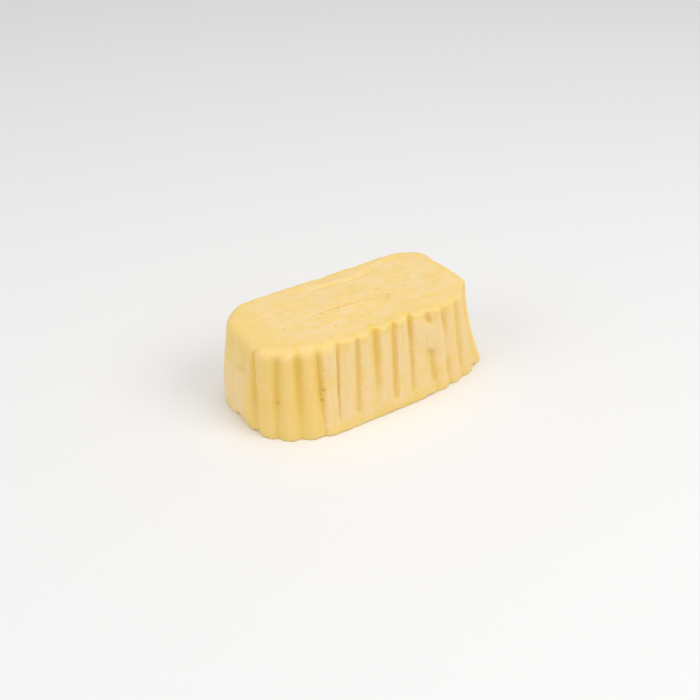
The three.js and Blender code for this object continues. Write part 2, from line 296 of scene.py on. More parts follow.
# %% [markdown]
# The top
# The top was skimmed nearly flat. It keeps low waves, a long shallow crease near the far edge, and
# a narrow slit whose near side was pushed up into a ragged lip. All of these are depths that depend
# only on the place in plan, so one function holds them.

# %% The relief of the top
SLIT_X = (-29.3, -15.4, -2.6, 12.8)
SLIT_Y = (-2.8, -2.4, -3.4, -7.3)
SLIT_HALF_WIDTH, SLIT_DEPTH = 0.6, 4.2
CREASE_X = (-26, -8, 10, 26, 39)
CREASE_Y = (17.5, 17.0, 15.3, 18.6, 19.4)
CREASE_DEPTH, CREASE_HALF_WIDTH = 0.55, 1.1
RIDGE_HEIGHT, RIDGE_OFFSET, RIDGE_HALF_WIDTH = 0.4, 2.2, 1.8

# Dents and curls at the end of the slit: x, y, how far each reaches, and how deep or high it is
TEAR_SPOTS = (
    (11.6, -1.2, 1.0, 0.8), (12.7, -2.6, 0.8, 1.5), (12.2, -4.4, 1.2, 1.2), (13.6, -5.6, 0.9, 2.4),
    (12.9, -7.4, 1.1, 2.0), (14.6, -6.6, 0.7, 1.2),
)
CURL_SPOTS = (
    (13.2, -0.6, 1.3, 0.5), (14.6, -3.4, 1.1, 0.55), (11.0, -2.6, 0.9, 0.35), (15.4, -5.2, 0.9, 0.3),
)


def bent_line(xs, ys, x):
    """A smooth line through a few points, as a polynomial of one degree less than their count."""
    return np.polyval(np.polyfit(xs, ys, len(xs) - 1), np.clip(x, xs[0], xs[-1]))


def slit_taper(x):
    share = (x - SLIT_X[0]) / (SLIT_X[-1] - SLIT_X[0])
    return np.sqrt(np.clip(np.sin(math.pi * np.clip(share, 0, 1)), 0, 1))


def top_relief(x, y):
    """Height above the top plane at a place in plan."""
    rolling = 0.28 * waves(x, y, 46, 21) + 0.12 * waves(x, y, 17, 24)
    away = y - bent_line(CREASE_X, CREASE_Y, x)
    crease_end = smooth(-27, -18, x) * (1 - smooth(34, 44, x))
    crease = -CREASE_DEPTH * np.exp(-(away / CREASE_HALF_WIDTH) ** 2)
    crease = crease + RIDGE_HEIGHT * np.exp(-((away - RIDGE_OFFSET) / RIDGE_HALF_WIDTH) ** 2)
    beside = y - bent_line(SLIT_X, SLIT_Y, x) + 0.16 * np.sin(x * 2.7) + 0.12 * np.sin(x * 1.1)
    taper = slit_taper(x)
    wall = 1 - smooth(0.75, 1.15, np.abs(beside) / (SLIT_HALF_WIDTH * np.maximum(taper, 0.05)))
    slit = -SLIT_DEPTH * wall * taper
    ragged = 0.65 + 0.35 * np.sin(x * 1.9) * np.sin(x * 0.77 + 1) + 0.25 * np.sin(x * 4.3)
    lip_end = smooth(-29, -22, x) * (1 - smooth(2, 9, x))
    near_lip = np.exp(-((beside + 1.5) / 0.95) ** 2)
    far_lip = 0.35 * np.exp(-((beside - 1.3) / 0.8) ** 2)
    lip = (LIP_HEIGHT - 0.15) * ragged * lip_end * (near_lip + far_lip)
    return rolling + crease * crease_end + slit + lip * (1 - wall) + tear_relief(x, y)


def tear_relief(x, y):
    """Torn dents across the end of the slit, with the curls of butter pushed up beside them."""
    relief = np.zeros_like(x)
    for spots, way in ((CURL_SPOTS, 1), (TEAR_SPOTS, -1)):
        for spot_x, spot_y, reach, height in spots:
            bent = 0.35 * np.sin(y * 3.3 + spot_x) + 0.3 * np.sin(x * 2.9 + spot_y)
            apart = np.hypot(x - spot_x + bent, y - spot_y) / reach
            relief += way * height * np.exp(-apart ** 2.6)
    return relief


# %% [markdown]
# Lofting the body
# Columns of points run up the wall, over the edge and a few millimetres in. There the middle of the
# top begins: a grid that fills the ring evenly, so no fan of thin triangles meets in one spot. The
# foot is one flat face. Each point also carries what the flutes need to know: its rib number, the
# way out of the block, and how open the flutes are there.

# %% Columns, rows and the grid of the top
PLACES_PER_RIB = 22
WALL_ROWS = 78
EDGE_ROWS = 8
FOOT_PACKING = 1.15
COLLAR_STEPS = (0.12, 0.28, 0.5, 0.74, 1.0)
COLLAR_FLUTE_SHARES = (0.82, 0.58, 0.26, 0.06, 0.0)
GRID_CORNER_RIB = 1.5
LONG_SIDE_RIBS, END_RIBS = 11, 4.5


def column_ribs():
    """Rib numbers of all columns, packed closer at the grooves than on the crests."""
    share = np.arange(PLACES_PER_RIB) / PLACES_PER_RIB
    packed = share - 0.07 * np.sin(2 * math.pi * share)
    return np.mod((np.arange(RIBS)[:, None] + packed[None, :]).ravel(), RIBS)


def patch_grid(ring, long_count, end_count):
    """Fills a ring of points, started at a corner, with a grid between its four sides."""
    sides = np.concatenate([ring, ring[:1]])
    near = sides[: long_count + 1]
    right = sides[long_count : long_count + end_count + 1]
    far = sides[long_count + end_count : 2 * long_count + end_count + 1][::-1]
    left = sides[2 * long_count + end_count :][::-1]
    u = np.linspace(0, 1, long_count + 1)[:, None, None]
    v = np.linspace(0, 1, end_count + 1)[None, :, None]
    between_long = mix(near[:, None, :], far[:, None, :], v)
    between_ends = mix(left[None, :, :], right[None, :, :], u)
    corners = mix(mix(near[0], near[-1], u), mix(far[0], far[-1], u), v)
    return between_long + between_ends - corners


def loft_body():
    ribs = np.roll(column_ribs(), -int(GRID_CORNER_RIB * PLACES_PER_RIB))
    count = len(ribs)
    radius = edge_radius(ribs)
    shoulder = HEIGHT - radius
    points, facts = [], []

    def add_ring(xy, height, out, flute_share):
        points.append(np.column_stack([xy, np.broadcast_to(height, count)]))
        facts.append(np.column_stack([ribs, out, np.broadcast_to(flute_share, count)]))

    for row in range(WALL_ROWS + 1):
        height = shoulder * (row / WALL_ROWS) ** FOOT_PACKING
        xy, out = wall_points(ribs, height, foot_bite(ribs, height))
        add_ring(xy, height, out, 1.0)
    for row in range(1, EDGE_ROWS + 1):
        turn = row / EDGE_ROWS * math.pi / 2
        height = shoulder + radius * math.sin(turn)
        xy, out = wall_points(ribs, height, radius * (1 - math.cos(turn)))
        lift = top_relief(xy[:, 0], xy[:, 1]) * math.sin(turn)
        add_ring(xy, height + lift, out, 1.0)
    edge, out = wall_points(ribs, np.full(count, HEIGHT), radius)
    collar = places(ribs)[2]
    for share, flute_share in zip(COLLAR_STEPS, COLLAR_FLUTE_SHARES):
        xy = mix(edge, collar, share)
        add_ring(xy, HEIGHT + top_relief(xy[:, 0], xy[:, 1]), out, flute_share)
    return ribs, points, facts


# %% [markdown]
# The grid's inner rows are bent along the slit and packed a little closer beside it, which keeps
# the slit's walls clean. The bend fades out towards the ring, so the grid still meets the collar
# point for point.

# %% Joining rings, grid and foot into one closed mesh
def bend_grid(grid):
    x, y = grid[..., 0], grid[..., 1]
    middle = bent_line(SLIT_X, SLIT_Y, np.array([-10.0]))[0]
    bend = bent_line(SLIT_X, SLIT_Y, x) - middle
    fade = 1 - smooth(1.5, 14, np.abs(y - middle))
    ends = smooth(-46, -30, x) * (1 - smooth(14, 34, x))
    beside = y - middle
    pack = -0.9 * np.sin(np.clip(beside / 6, -1, 1) * math.pi) * ends * fade
    return np.stack([x, y + bend * fade * ends + pack], axis=-1)


def build_plain_body():
    ribs, points, facts = loft_body()
    count = len(ribs)
    rings = len(points)
    long_count = int(LONG_SIDE_RIBS * PLACES_PER_RIB)
    end_count = int(END_RIBS * PLACES_PER_RIB)
    grid = bend_grid(patch_grid(points[-1][:, :2], long_count, end_count))
    grid_index = np.full(grid.shape[:2], -1)
    ring_start = (rings - 1) * count
    walk = [(i, 0) for i in range(long_count)]
    walk += [(long_count, j) for j in range(end_count)]
    walk += [(long_count - i, end_count) for i in range(long_count)]
    walk += [(0, end_count - j) for j in range(end_count)]
    for number, (i, j) in enumerate(walk):
        grid_index[i, j] = ring_start + number
    inner = grid[1:-1, 1:-1].reshape(-1, 2)
    grid_index[1:-1, 1:-1] = rings * count + np.arange(len(inner)).reshape(long_count - 1, -1)
    relief = HEIGHT + top_relief(inner[:, 0], inner[:, 1])
    points.append(np.column_stack([inner, relief]))
    facts.append(np.tile([0.0, 0.0, -1.0, 0.0], (len(inner), 1)))
    faces = [list(range(count))[::-1]]
    for ring in range(rings - 1):
        here = ring * count + np.arange(count)
        ahead = np.roll(here, -1)
        faces += np.stack([here, ahead, ahead + count, here + count], axis=1).tolist()
    square = [grid_index[:-1, :-1], grid_index[1:, :-1], grid_index[1:, 1:], grid_index[:-1, 1:]]
    faces += np.stack(square, axis=-1).reshape(-1, 4).tolist()
    return np.concatenate(points), np.concatenate(facts), faces


POINTS, FACTS, FACES = build_plain_body()
print("plain body:", len(POINTS), "points,", len(FACES), "faces")


# %% [markdown]
# How open the flutes are
# No two flutes of the real block are alike. The list holds the ones that show in front, in
# order from the near left corner: how far they stray at the top and at the foot, their depth at four
# heights from the top down, their half width, how sharp they are, and how far they notch the top
# edge. The hidden ones are drawn evenly from the same range by a fixed rule.

# %% Depth, width and openness of every flute
SHOWN_FLUTES = (
    (-0.34, 0.33, 1.9, 1.8, 0.9, 0.8, 1.7, 0.0, 0.3),
    (0.0, 0.26, 1.8, 1.9, 1.1, 1.1, 2.2, 0.0, 0.3),
    (-0.12, 0.2, 2.2, 2.1, 1.2, 1.1, 2.6, 0.0, 0.4),
    (-0.16, 0.16, 2.0, 2.4, 1.3, 0.9, 2.9, 1.0, 0.4),
    (-0.1, -0.38, 1.3, 1.4, 1.0, 0.1, 1.2, 0.9, 0.8),
    (-0.12, -0.2, 1.5, 1.5, 1.2, 0.1, 1.8, 0.6, 0.8),
    (-0.09, -0.16, 2.5, 1.6, 0.4, 0.2, 2.8, 0.9, 1.0),
    (-0.05, -0.15, 2.0, 1.7, 1.4, 0.1, 2.3, 1.0, 1.0),
    (-0.1, -0.2, 2.1, 1.2, 1.0, 0.2, 1.6, 0.5, 1.0),
    (-0.16, 0.06, 1.5, 1.2, 1.3, 0.5, 1.9, 0.0, 0.35),
    (-0.36, -0.15, 1.4, 0.5, 1.1, 0.7, 2.0, 0.2, 0.4),
    (-0.34, -0.46, 1.5, 1.4, 1.1, 0.6, 2.3, 0.1, 0.5),
    (-0.1, -0.1, 0.8, 0.8, 0.8, 0.4, 1.9, 0.1, 0.2),
    (0.0, 0.0, 0.7, 0.9, 0.9, 0.4, 1.9, 0.1, 0.0),
    (0.0, 0.0, 1.0, 1.2, 1.1, 0.7, 1.9, 0.1, 0.0),
)
DEPTH_HEIGHTS = (41.0, 22.0, 8.5, 4.0)
# A notch lifts the edge a little and widens its groove there
NOTCH_LIFT, NOTCH_WIDENING = 0.3, 0.35


def flute_table():
    number = np.arange(RIBS)
    depth = 1.6 * (1 + 0.2 * uneven(number, 4))
    table = np.column_stack([
        0.07 * uneven(number, 1),
        0.07 * uneven(number, 5),
        depth * (1 + 0.2 * uneven(number, 7)),
        depth * (1 + 0.15 * uneven(number, 8)),
        depth * (0.8 + 0.2 * uneven(number, 9)),
        depth * (0.45 + 0.3 * uneven(number, 10)),
        1.9 * (1 + 0.15 * uneven(number, 2)),
        0.4 + 0.35 * uneven(number, 6),
        0.5 * smooth(0.0, 0.8, uneven(number, 3)),
    ])
    table[: len(SHOWN_FLUTES)] = SHOWN_FLUTES
    return table


FLUTES = flute_table()


def stray(rib, height):
    """How far the flutes stray sideways here, in ribs, passing smoothly from one to the next."""
    known = np.arange(RIBS + 1)
    low = 1 - height / HEIGHT
    strays = [np.interp(np.mod(rib, RIBS), known, FLUTES[known % RIBS, end]) for end in (0, 1)]
    return mix(strays[0], strays[1], low)


def flute_depth(flutes, height):
    depth = flutes[:, 2]
    for step in range(3):
        upper, lower = DEPTH_HEIGHTS[step : step + 2]
        depth = mix(flutes[:, 3 + step], depth, smooth(lower, upper, height))
    return depth


def smear_share(rib, height):
    slanted = height + SMEAR_SLOPE * (rib - 9) + 0.8 * np.sin(rib * 7.0 + 1)
    above_lip = smooth(SMEAR_HEIGHTS[0] - 3.0, SMEAR_HEIGHTS[0], slanted)
    below_rim = 1 - smooth(SMEAR_HEIGHTS[1], SMEAR_HEIGHTS[1] + 3.5, slanted)
    return within(SMEAR_RIBS, rib, 0.35) * above_lip * below_rim


# %% [markdown]
# Cream and pits
# The skin is cream-coloured where it was dragged, as on the near side and the smear. It is yellower
# where it left the mould cleanly, as on the ribs of the near left corner, along the foot and round
# the rim. The wiped left end is cream too, but painted yellower above its ledge and creamier below
# it: partly its own colour, partly painted shade above the ledge and painted light on the swell
# below. The top turns yellower towards its left end, partly its own colour and partly a painted
# shadow. Air bubbles that burst at the skin left small pits.

# %% Where the skin is creamy and where it is pitted
NEAR_SIDE_START, NEAR_SIDE_END, FAR_SIDE_RIBS = (2.95, 3.2), (10.2, 12.6), (16, 27)
# Each pit: its rib and height, or its x and y, and its radius
SIDE_PITS = (
    (1.18, 18.4, 1.2), (3.12, 33.5, 0.9), (3.07, 23.0, 0.95), (3.05, 18.0, 0.6), (5.22, 18.0, 0.8),
    (5.46, 17.3, 0.7), (7.68, 27.3, 1.3), (8.6, 24.0, 0.9), (8.75, 21.3, 0.9), (9.34, 20.5, 0.9),
    (10.4, 17.0, 0.7), (10.9, 20.0, 0.7), (11.4, 9.0, 0.7),
)
TOP_PITS = (
    (28.2, 4.9, 0.8), (25.4, -3.4, 0.7), (31.0, -6.6, 0.8), (-40.0, -3.5, 0.9), (-45.5, 3.0, 0.7),
    (-20.6, -14.7, 0.9), (-6.0, -13.7, 0.8), (5.7, 10.5, 0.7), (4.1, 13.0, 0.7), (40.0, 8.0, 0.7),
)
HAND_PIT = 1.5
# Torn places: rib or x, height or y, and how far they reach both ways
TORN_SIDES = (
    (3.1, 27.0, 0.35, 14.0), (8.9, 31.0, 1.0, 12.0), (-1.4, 3.0, 0.8, 4.0), (10.8, 8.0, 1.2, 5.0),
    (6.5, 6.5, 3.5, 3.0), (7.0, 42.0, 3.5, 2.5), (16.5, 8.0, 1.5, 8.0), (22.0, 12.0, 1.2, 7.0),
    (26.0, 6.0, 2.0, 4.0),
)
TORN_TOPS = ((-12.0, -4.6, 18.0, 2.2), (13.0, -3.5, 3.0, 8.0), (20.0, 17.5, 16.0, 2.5))
# The torn places that also hold crumbs
CRUMBLY_TOPS = TORN_TOPS[:2]


def cream_and_shade_share(rib, height, share, smeared, wiped):
    near_side = smooth(*NEAR_SIDE_START, rib) * (1 - smooth(*NEAR_SIDE_END, rib))
    band = 1 - smooth(0.6, 1.3, height / FOOT_BAND_HEIGHT)
    # Painted shade and light on the wiped end: yellower above its ledge, creamier below it
    lit_below_ledge = 1 - smooth(*LEDGE_HEIGHTS, height)
    side = 0.12 + 0.62 * near_side * (1 - 0.8 * band) + wiped * mix(0.15, 0.85, lit_below_ledge)
    side = np.maximum(side, 0.45 * within(FAR_SIDE_RIBS, rib, 1.5) * (1 - band))
    side = mix(side, 0.35, smooth(38.5, 43.5, height)) + 0.3 * smeared
    # The top turns yellower towards its left end: partly its own colour, partly a painted shadow
    top = 0.68 - 0.45 * smooth(-36, -54, POINTS[:, 0])
    return mix(top, np.clip(side, 0, 1), share)


def hand_pits(rib, height, share):
    """The pits seen in front, from 0 on whole skin to HAND_PIT in the middle of a pit."""
    pit = np.zeros(len(rib))
    for middle, tall, radius in SIDE_PITS:
        apart = np.hypot((rib - middle) * RIB_PITCH, height - tall) / radius
        pit = np.maximum(pit, (share > 0.9) * (1 - smooth(0.2, 1, apart)))
    for x, y, radius in TOP_PITS:
        apart = np.hypot((POINTS[:, 0] - x) * 0.7, POINTS[:, 1] - y) / radius
        pit = np.maximum(pit, (share < 0.9) * (1 - smooth(0.2, 1, apart)))
    return HAND_PIT * pit


def share_in(spots, along, across):
    """From 1 in the middle of any of some oval places to 0 outside them all."""
    found = np.zeros(len(along))
    for middle, level, reach, tall in spots:
        apart = np.hypot((along - middle) / reach, (across - level) / tall)
        found = np.maximum(found, 1 - smooth(0.3, 1, apart))
    return found


def torn_share(rib, height, share):
    """How torn the skin is, from 0 to 1."""
    on_side = share_in(TORN_SIDES, rib, height)
    on_top = share_in(TORN_TOPS, POINTS[:, 0], POINTS[:, 1])
    return np.where(share > 0.9, on_side, on_top)


def crumbly_share(share):
    return (share < 0.9) * (POINTS[:, 2] > 1) * share_in(CRUMBLY_TOPS, POINTS[:, 0], POINTS[:, 1])


# %% [markdown]
# A flute strays sideways, so each point first finds its own flute at its own height.

# %% All facts of all points
def point_facts():
    height = np.clip(POINTS[:, 2], 0, HEIGHT)
    rib, out, share = FACTS[:, 0], FACTS[:, 1:3], FACTS[:, 3]
    moved = rib - stray(rib, height)
    flutes = FLUTES[np.round(moved).astype(int) % RIBS]
    wiped = nearness(rib, WIPED_RIB, WIPED_REACH) * mix(1, 0.8, smooth(15, 40, height))
    smeared = smear_share(rib, height)
    top_fade = mix(smooth(0.3, 7, HEIGHT - height), 1, flutes[:, 8])
    width = flutes[:, 6] * (1 + NOTCH_WIDENING * flutes[:, 8] * smooth(35, 43, height))
    return dict(
        rib=moved, groove_depth=flute_depth(flutes, height), groove_half_width=width,
        sharpness=flutes[:, 7], open_share=top_fade * (1 - wiped) * (1 - 0.95 * smeared) * share,
        smeared=smeared * share, wall_share=share,
        cream=cream_and_shade_share(rib, height, share, smeared, wiped), pit=hand_pits(rib, height, share),
        torn=torn_share(rib, height, share), crumbly=crumbly_share(share),
        out=np.column_stack([out, -NOTCH_LIFT * flutes[:, 8] * smooth(34, 44, height)]),
    )


# %% [markdown]
# A mesh with named facts
# A Geometry Nodes tree can read any named attribute of the mesh it works on, so the facts go into
# the mesh under the names that the tree asks for.

# %% Make the plain mesh
def add_object(name, data):
    thing = bpy.data.objects.new(name, data)
    bpy.context.scene.collection.objects.link(thing)
    return thing


def store(mesh, name, values):
    kind = "FLOAT_VECTOR" if np.ndim(values) == 2 else "FLOAT"
    field = "vector" if kind == "FLOAT_VECTOR" else "value"
    attribute = mesh.attributes.new(name, kind, "POINT")
    attribute.data.foreach_set(field, np.asarray(values, dtype=np.float32).ravel())


def make_plain_block():
    mesh = bpy.data.meshes.new("butter")
    mesh.from_pydata((POINTS * MM).tolist(), [], FACES)
    for name, values in point_facts().items():
        store(mesh, name, values)
    mesh.polygons.foreach_set("use_smooth", [len(face) == 4 for face in FACES])
    return add_object("butter", mesh)


butter = make_plain_block()


# %% [markdown]
# A helper for node trees
# Nodes are wordy to make one by one. One helper adds a node, makes its settings and plugs whatever
# it is given into it, number or socket alike. The others build on it and hand back a result, so a
# formula reads nearly as it would on paper.

# %% Helpers that plug nodes together
def plug(tree, value, socket):
    if isinstance(value, bpy.types.NodeSocket):
        tree.links.new(value, socket)
    else:
        socket.default_value = value


def add_node(tree, kind, sockets, **settings):
    """Adds a node with its settings made and its sockets plugged, and hands its outputs back."""
    node = tree.nodes.new(kind)
    for name, value in settings.items():
        setattr(node, name, value)
    for label, value in sockets.items():
        plug(tree, value, node.inputs[label])
    return node.outputs


def math_node(tree, operation, *values, clamp=False):
    sockets = dict(enumerate(values))
    return add_node(tree, "ShaderNodeMath", sockets, operation=operation, use_clamp=clamp)[0]


def times(tree, first, second):
    return math_node(tree, "MULTIPLY", first, second)


def plus(tree, first, second):
    return math_node(tree, "ADD", first, second)


def minus(tree, first, second, clamp=False):
    return math_node(tree, "SUBTRACT", first, second, clamp=clamp)


def vector_scale(tree, vector, scale):
    sockets = {0: vector, "Scale": scale}
    return add_node(tree, "ShaderNodeVectorMath", sockets, operation="SCALE")[0]


def named(tree, name, kind="FLOAT"):
    return add_node(tree, "GeometryNodeInputNamedAttribute", {"Name": name}, data_type=kind)["Attribute"]


def noise_of(tree, vector, squash, scale, detail):
    """Noise from 0 to 1 of a vector that is divided by a squash, one number for each axis."""
    squashed = add_node(tree, "ShaderNodeVectorMath", {0: vector, 1: squash}, operation="DIVIDE")[0]
    sockets = {"Vector": squashed, "Scale": scale, "Detail": detail}
    return add_node(tree, "ShaderNodeTexNoise", sockets)[0]


def centred_noise(tree, length, amount, stretch=(1.0, 1.0, 1.0), detail=2.0):
    """Noise round zero that changes over a length in millimetres, longer where it is stretched."""
    position = add_node(tree, "GeometryNodeInputPosition", {})[0]
    squash = [MM * factor for factor in stretch]
    noise = noise_of(tree, position, squash, math_node(tree, "DIVIDE", 1.0, length), detail)
    return times(tree, minus(tree, noise, 0.5), amount)


def along_normal(tree, millimetres):
    """A move along the normal, in metres."""
    normal = add_node(tree, "GeometryNodeInputNormal", {})[0]
    return vector_scale(tree, normal, times(tree, millimetres, MM))


def geometry_step(tree, kind, geometry, **sockets):
    """Passes geometry through a new node, plugs its other sockets, and hands the geometry back."""
    return add_node(tree, "GeometryNode" + kind, {"Geometry": geometry, **sockets})["Geometry"]


def scatter_points(tree, geometry, density, seed):
    """The outputs of a node that strews points over a mesh, so many to the square metre."""
    sockets = {"Mesh": geometry, "Density": density, "Seed": seed}
    return add_node(tree, "GeometryNodeDistributePointsOnFaces", sockets)


def new_tree(name, inputs):
    """A Geometry Nodes tree with one geometry in, one out, and named sizes."""
    tree = bpy.data.node_groups.new(name, "GeometryNodeTree")
    tree.interface.new_socket("Geometry", in_out="INPUT", socket_type="NodeSocketGeometry")
    tree.interface.new_socket("Geometry", in_out="OUTPUT", socket_type="NodeSocketGeometry")
    for label, (kind, default) in inputs.items():
        socket = tree.interface.new_socket(label, in_out="INPUT", socket_type=kind)
        if default is not None:
            socket.default_value = default
    return tree, tree.nodes.new("NodeGroupInput"), tree.nodes.new("NodeGroupOutput")


# %% [markdown]
# Pressing the flutes
# The tree measures how far a point stands from its nearest groove and moves it in, against the way
# out of the block. A round groove follows a bell curve. A sharp one is gentle on its left and ends
# in a crisp lip on its right, because the block was drawn sideways out of the mould. Between grooves
# the rib stands up in a low crown.

# %% The fluting tree
FLOAT, INTEGER, MATERIAL = "NodeSocketFloat", "NodeSocketInt", "NodeSocketMaterial"
# How wide each side of a groove's profile spreads, and the power of its curve
GENTLE_SPREAD, GENTLE_POWER, CRISP_SPREAD, CRISP_POWER, ROUND_POWER = 1.05, 1.7, 0.65, 0.8, 2.4


def bell_curve(tree, ratio, power):
    bent = math_node(tree, "POWER", ratio, power)
    return math_node(tree, "EXPONENT", times(tree, bent, -1.0))


def groove_shape(tree, offset, pitch, half_width, sharp):
    """From 1 in the middle of a groove to 0 beside it, for a point so many ribs off its groove."""
    apart = times(tree, math_node(tree, "ABSOLUTE", offset), pitch)
    ratio = math_node(tree, "DIVIDE", apart, half_width)
    on_right = math_node(tree, "GREATER_THAN", offset, 0.0)
    gentle = bell_curve(tree, math_node(tree, "DIVIDE", ratio, GENTLE_SPREAD), GENTLE_POWER)
    crisp = minus(tree, 1.0, math_node(tree, "DIVIDE", ratio, CRISP_SPREAD), clamp=True)
    crisp = math_node(tree, "POWER", crisp, CRISP_POWER)
    sharp_part = times(tree, crisp, on_right)
    left_part = times(tree, gentle, minus(tree, 1.0, on_right))
    sharp_part = times(tree, plus(tree, sharp_part, left_part), sharp)
    soft = minus(tree, 1.0, sharp)
    return math_node(tree, "MULTIPLY_ADD", bell_curve(tree, ratio, ROUND_POWER), soft, sharp_part)


def groove_inset(tree, sizes):
    """How far in a point lies, in millimetres, from its rib number and the flute's facts."""
    wander = centred_noise(tree, sizes["Wander length"], sizes["Wander"], detail=3.0)
    rib = plus(tree, named(tree, "rib"), wander)
    torn = math_node(tree, "MULTIPLY_ADD", named(tree, "torn"), sizes["Torn wander"], 0.015)
    rib = plus(tree, rib, centred_noise(tree, 2.0, torn, detail=2.0))
    offset = minus(tree, rib, math_node(tree, "ROUND", rib))
    half_width = times(tree, named(tree, "groove_half_width"), sizes["Groove width"])
    shape = groove_shape(tree, offset, sizes["Rib pitch"], half_width, named(tree, "sharpness"))
    depth = times(tree, named(tree, "groove_depth"), sizes["Groove depth"])
    from_crest = minus(tree, 0.5, math_node(tree, "ABSOLUTE", offset))
    fall = times(tree, math_node(tree, "POWER", from_crest, 2.0), 4.0)
    roundness = minus(tree, 1.9, named(tree, "sharpness"))
    crown = times(tree, times(tree, fall, roundness), sizes["Rib crown"])
    crown = times(tree, crown, math_node(tree, "MINIMUM", depth, 1.0))
    inset = math_node(tree, "MULTIPLY_ADD", shape, depth, crown)
    swell = times(tree, named(tree, "smeared"), sizes["Smear swell"])
    opened = times(tree, inset, named(tree, "open_share"))
    return minus(tree, opened, swell)


def make_fluting_tree():
    tree, source, result = new_tree("Press the flutes", {
        "Rib pitch": (FLOAT, RIB_PITCH),
        "Groove depth": (FLOAT, 1.0),
        "Groove width": (FLOAT, 1.0),
        "Rib crown": (FLOAT, 0.4),
        "Smear swell": (FLOAT, SMEAR_SWELL),
        "Wander": (FLOAT, 0.08),
        "Wander length": (FLOAT, 7.0),
        "Torn wander": (FLOAT, 0.12),
        "Material": (MATERIAL, None),
    })
    inset = groove_inset(tree, source.outputs)
    press = vector_scale(tree, named(tree, "out", "FLOAT_VECTOR"), times(tree, inset, -MM))
    block = source.outputs["Geometry"]
    # The depth of each groove is kept for the finish, which paints shade into the grooves with it
    block = geometry_step(tree, "StoreNamedAttribute", block, Name="groove_shade", Value=inset)
    block = geometry_step(tree, "SetPosition", block, Offset=press)
    block = geometry_step(tree, "RealizeInstances", block)
    block = geometry_step(tree, "SetMaterial", block, Material=source.outputs["Material"])
    tree.links.new(block, result.inputs[0])
    return tree


# %% [markdown]
# A modifier's inputs are set by each socket's identifier. The evaluated result is then kept as a
# plain mesh and the modifier removed, so nothing is left to recompute.

# %% Run a tree and keep its result
def run_tree(target, tree, sizes):
    modifier = target.modifiers.new(tree.name, "NODES")
    modifier.node_group = tree
    for item in tree.interface.items_tree:
        if item.item_type == "SOCKET" and item.in_out == "INPUT" and item.name in sizes:
            modifier[item.identifier] = sizes[item.name]
    ready = target.evaluated_get(bpy.context.evaluated_depsgraph_get())
    mesh = bpy.data.meshes.new_from_object(ready)
    target.modifiers.remove(modifier)
    target.data = mesh


butter_finish = bpy.data.materials.new("Butter")
crumb_finish = bpy.data.materials.new("Butter crumbs")
run_tree(butter, make_fluting_tree(), {"Material": butter_finish})


# %% [markdown]
# Roughing the skin
# A second tree moves every point along its normal. Low lumps come first, then drag marks that run up
# the walls and strokes that run along the top, then a fine grain, and last the burst bubbles: a few
# listed one by one and many scattered by a fixed seed. The foot stays flat, so the block still stands.

# %% The roughening tree
# The roughening fades out below this height
FOOT_KEPT_FLAT = 1.5


def blend(tree, first, second, share):
    """A number between the first and the second."""
    return add_node(tree, "ShaderNodeMix", {0: share, 2: first, 3: second})[0]


def step_node(tree, value, low, high):
    """A soft step from 0 to 1 between two values."""
    sockets = {"Value": value, "From Min": low, "From Max": high}
    return add_node(tree, "ShaderNodeMapRange", sockets, interpolation_type="SMOOTHSTEP")[0]


def random_share(tree, seed, **identity):
    """A random number from 0 to 1 for each point, or for each identity that is given as ID."""
    sockets = {2: 0.0, 3: 1.0, "Seed": seed, **identity}
    return add_node(tree, "FunctionNodeRandomValue", sockets, data_type="FLOAT")[1]


def scattered_pits(tree, source):
    """From 1 in the middle of a scattered pit to 0 on whole skin."""
    density = source["Pits per square metre"]
    points = scatter_points(tree, source["Geometry"], density, source["Seed"])["Points"]
    nearest = add_node(tree, "GeometryNodeSampleNearest", {0: points})[0]
    apart = add_node(tree, "GeometryNodeProximity", {0: points}, target_element="POINTS")["Distance"]
    share = math_node(tree, "POWER", random_share(tree, source["Seed"], ID=nearest), 3.0)
    radius = blend(tree, source["Smallest pit"], source["Largest pit"], share)
    ratio = math_node(tree, "DIVIDE", math_node(tree, "DIVIDE", apart, MM), radius)
    return minus(tree, 1.0, step_node(tree, ratio, 0.2, 1.0))


def make_roughening_tree():
    tree, group, result = new_tree("Rough the skin", {
        "Lumps": (FLOAT, 0.35),
        "Lump length": (FLOAT, 11.0),
        "Drag marks": (FLOAT, 0.28),
        "Grain": (FLOAT, 0.14),
        "Torn grain": (FLOAT, 0.7),
        "Pit depth": (FLOAT, 0.3),
        "Smallest pit": (FLOAT, 0.25),
        "Largest pit": (FLOAT, 0.75),
        "Pits per square metre": (FLOAT, 2200.0),
        "Seed": (INTEGER, 5),
    })
    source = group.outputs
    lumps = centred_noise(tree, source["Lump length"], source["Lumps"])
    up_walls = centred_noise(tree, 1.0, source["Drag marks"], (2.2, 2.2, 16.0), 3.0)
    along_top = centred_noise(tree, 1.0, source["Drag marks"], (15.0, 2.4, 4.0), 3.0)
    marks = blend(tree, along_top, up_walls, named(tree, "wall_share"))
    rough = math_node(tree, "MULTIPLY_ADD", named(tree, "torn"), source["Torn grain"], source["Grain"])
    grain = centred_noise(tree, 1.5, rough, detail=3.0)
    pit = math_node(tree, "MAXIMUM", named(tree, "pit"), scattered_pits(tree, source))
    raised = plus(tree, plus(tree, lumps, marks), grain)
    raised = minus(tree, raised, times(tree, pit, source["Pit depth"]))
    position = add_node(tree, "GeometryNodeInputPosition", {})[0]
    height = add_node(tree, "ShaderNodeSeparateXYZ", {0: position})["Z"]
    free = step_node(tree, height, 0.0, FOOT_KEPT_FLAT * MM)
    move = along_normal(tree, times(tree, raised, free))
    skin = geometry_step(tree, "StoreNamedAttribute", source["Geometry"], Name="pit", Value=pit)
    skin = geometry_step(tree, "SetPosition", skin, Offset=move)
    tree.links.new(skin, result.inputs[0])
    return tree


